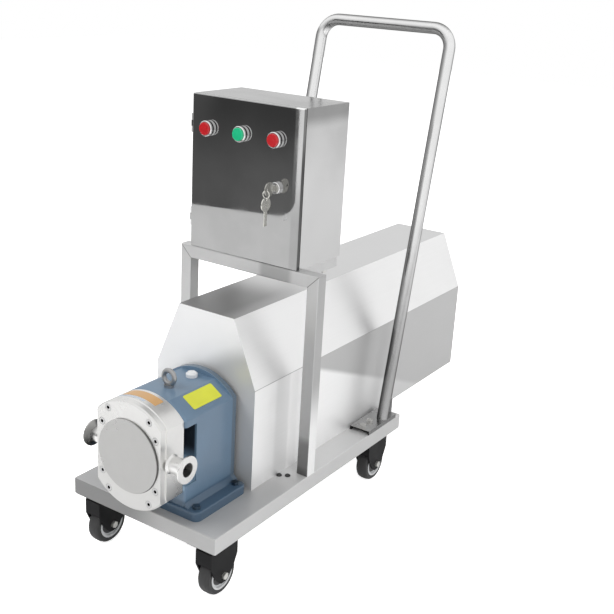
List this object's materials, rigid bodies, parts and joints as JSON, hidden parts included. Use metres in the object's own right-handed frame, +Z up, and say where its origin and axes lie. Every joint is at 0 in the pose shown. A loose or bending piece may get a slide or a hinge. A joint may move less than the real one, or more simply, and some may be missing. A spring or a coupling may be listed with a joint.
{
  "type": "sanitary rotor pump on a trolley",
  "caption": "Rotary lobe pump with clamp ports on a stainless hand trolley, with a hooded drive and a control box.",
  "frame": {"origin": "on the floor, under the middle of the machine's length and width", "axes": "+Z up, -Y towards the pump's front cover, +X to the right seen from the front"},
  "size_m": [0.345, 1.0606, 0.9965],
  "materials": {
    "brushed_stainless": "brushed stainless sheet and tube",
    "bright_stainless": "finely polished stainless",
    "box_stainless": "mirror polished stainless sheet",
    "blue_paint": "semi-gloss grey-blue machine enamel",
    "black_steel": "black coated pressed steel",
    "tyre": "satin black rubber",
    "wheel_hub": "pale grey moulded rim",
    "zinc": "zinc plated",
    "chrome_trim": "bright chrome",
    "red_cap": "glossy red moulding",
    "green_cap": "glossy green moulding",
    "black_plastic": "black moulding",
    "grey_plastic": "light grey moulding",
    "seal_rubber": "black elastomer",
    "machined_steel": "machined steel",
    "cap_white": "white moulded filler cap",
    "sight_glass": "brass rim round an oil glass",
    "motor_grey": "grey painted aluminium",
    "bed_steel": "grey painted folded steel",
    "spider_red": "red polyurethane"
  },
  "bodies": {
    "frame": {"base_tray": "brushed_stainless", "caster_plates": "black_steel", "handle_tube": "bright_stainless", "handle_brackets": "bright_stainless", "stand_frame": "brushed_stainless", "frame_bolts": "zinc", "motor_hood": "brushed_stainless", "enclosure_body": "box_stainless", "door_hinges": "chrome_trim", "mounting_plate": "zinc", "switchgear": "grey_plastic", "box_gland": "black_plastic", "gear_housing": "blue_paint", "rear_cover": "blue_paint", "bearings": "machined_steel", "shaft_seals": "seal_rubber", "rotor_casing": "bright_stainless", "front_cover": "bright_stainless", "cover_seal": "seal_rubber", "cover_screws": "machined_steel", "oil_plugs": "cap_white", "lifting_eye": "zinc", "sight_glass": "sight_glass", "drive_bed": "bed_steel", "gear_reducer": "motor_grey", "motor_body": "motor_grey"},
    "door": {"enclosure_door": "box_stainless", "door_gasket": "seal_rubber", "lock_barrel": "chrome_trim", "button_bezels": "chrome_trim", "button_contacts": "black_plastic"},
    "left_stop": {"left_stop_button": "red_cap"},
    "start": {"start_button": "green_cap"},
    "right_stop": {"right_stop_button": "red_cap"},
    "lock_key": {"key": "chrome_trim", "lock_cam": "zinc"},
    "hanging_key": {"key_ring": "chrome_trim", "spare_key": "chrome_trim"},
    "drive_line": {"drive_shaft": "machined_steel", "drive_rotor": "machined_steel", "drive_gear": "machined_steel", "coupling_halves": "machined_steel", "coupling_spider": "spider_red", "output_shaft": "machined_steel"},
    "driven_line": {"driven_shaft": "machined_steel", "driven_rotor": "machined_steel", "driven_gear": "machined_steel"},
    "motor_line": {"motor_rotor": "machined_steel"},
    "front_left_caster": {"front_left_fork": "black_steel"},
    "front_left_wheel": {"front_left_tyre": "tyre", "front_left_hub": "wheel_hub"},
    "front_right_caster": {"front_right_fork": "black_steel"},
    "front_right_wheel": {"front_right_tyre": "tyre", "front_right_hub": "wheel_hub"},
    "rear_left_caster": {"rear_left_fork": "black_steel"},
    "rear_left_wheel": {"rear_left_tyre": "tyre", "rear_left_hub": "wheel_hub"},
    "rear_right_caster": {"rear_right_fork": "black_steel"},
    "rear_right_wheel": {"rear_right_tyre": "tyre", "rear_right_hub": "wheel_hub"}
  },
  "joints": [
    {"name": "door_swing", "type": "hinge", "parent": "frame", "child": "door", "pos_m": [-0.1395, -0.2005, 0.705], "axis": [0, 0, -1], "range_deg": [0, 110]},
    {"name": "left_stop_press", "type": "slide", "parent": "door", "child": "left_stop", "axis": [0, 1, 0], "range_m": [0, 0.004], "stiffness_N_per_m": 900},
    {"name": "start_press", "type": "slide", "parent": "door", "child": "start", "axis": [0, 1, 0], "range_m": [0, 0.004], "stiffness_N_per_m": 900},
    {"name": "right_stop_press", "type": "slide", "parent": "door", "child": "right_stop", "axis": [0, 1, 0], "range_m": [0, 0.004], "stiffness_N_per_m": 900},
    {"name": "key_turn", "type": "hinge", "parent": "door", "child": "lock_key", "pos_m": [0.068, -0.20925, 0.705], "axis": [0, -1, 0], "range_deg": [0, 90]},
    {"name": "spare_key_hang", "type": "hinge", "parent": "lock_key", "child": "hanging_key", "pos_m": [0.068, -0.24125, 0.69776], "axis": [0, -1, 0], "range_deg": [-90, 0]},
    {"name": "drive_shaft_turn", "type": "hinge", "parent": "frame", "child": "drive_line", "pos_m": [0, -0.41575, 0.2935], "axis": [0, 1, 0], "continuous": true},
    {"name": "driven_shaft_turn", "type": "hinge", "parent": "frame", "child": "driven_line", "pos_m": [0, -0.41575, 0.2305], "axis": [0, 1, 0], "continuous": true},
    {"name": "motor_turn", "type": "hinge", "parent": "frame", "child": "motor_line", "pos_m": [0, -0.02375, 0.2935], "axis": [0, 1, 0], "continuous": true},
    {"name": "front_left_swivel", "type": "hinge", "parent": "frame", "child": "front_left_caster", "pos_m": [-0.1375, -0.461, 0.1027], "axis": [0, 0, 1], "continuous": true},
    {"name": "front_left_roll", "type": "hinge", "parent": "front_left_caster", "child": "front_left_wheel", "pos_m": [-0.1375, -0.4435, 0.04], "axis": [1, 0, 0], "continuous": true},
    {"name": "front_right_swivel", "type": "hinge", "parent": "frame", "child": "front_right_caster", "pos_m": [0.1375, -0.461, 0.1027], "axis": [0, 0, 1], "continuous": true},
    {"name": "front_right_roll", "type": "hinge", "parent": "front_right_caster", "child": "front_right_wheel", "pos_m": [0.1375, -0.4435, 0.04], "axis": [1, 0, 0], "continuous": true},
    {"name": "rear_left_swivel", "type": "hinge", "parent": "frame", "child": "rear_left_caster", "pos_m": [-0.1375, 0.1215, 0.1027], "axis": [0, 0, 1], "continuous": true},
    {"name": "rear_left_roll", "type": "hinge", "parent": "rear_left_caster", "child": "rear_left_wheel", "pos_m": [-0.1375, 0.104, 0.04], "axis": [1, 0, 0], "continuous": true},
    {"name": "rear_right_swivel", "type": "hinge", "parent": "frame", "child": "rear_right_caster", "pos_m": [0.1375, 0.1215, 0.1027], "axis": [0, 0, 1], "continuous": true},
    {"name": "rear_right_roll", "type": "hinge", "parent": "rear_right_caster", "child": "rear_right_wheel", "pos_m": [0.1375, 0.104, 0.04], "axis": [1, 0, 0], "continuous": true}
  ],
  "couplings": [
    {"joint": "driven_shaft_turn", "follows": "drive_shaft_turn", "ratio": -1},
    {"joint": "motor_turn", "follows": "drive_shaft_turn", "ratio": 4},
    {"joint": "spare_key_hang", "follows": "key_turn", "ratio": -1}
  ]
}
